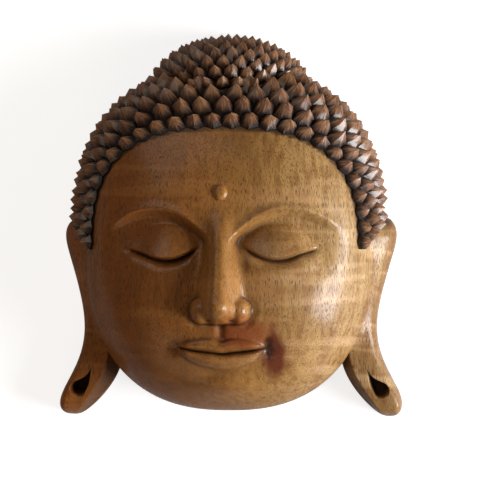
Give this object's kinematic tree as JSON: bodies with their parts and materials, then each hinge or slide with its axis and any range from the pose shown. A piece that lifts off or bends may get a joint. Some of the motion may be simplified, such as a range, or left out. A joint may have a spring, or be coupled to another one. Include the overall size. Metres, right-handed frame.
{
  "type": "buddha mask",
  "caption": "Carved wooden Buddha face mask with rows of pointed curls, a domed topknot, long flared ears and a hollowed back.",
  "frame": {"origin": "on the flat back rim's plane, at the middle of the mask's width and height", "axes": "+Z out of the face, +Y towards the crown, +X to the viewer's right"},
  "size_m": [0.273, 0.3054, 0.1163],
  "materials": {
    "carved_wood": "honey-brown wood, wax polished to a soft gloss, hair stained dark brown"
  },
  "bodies": {
    "root": {"buddha_mask": "carved_wood"}
  },
  "joints": []
}
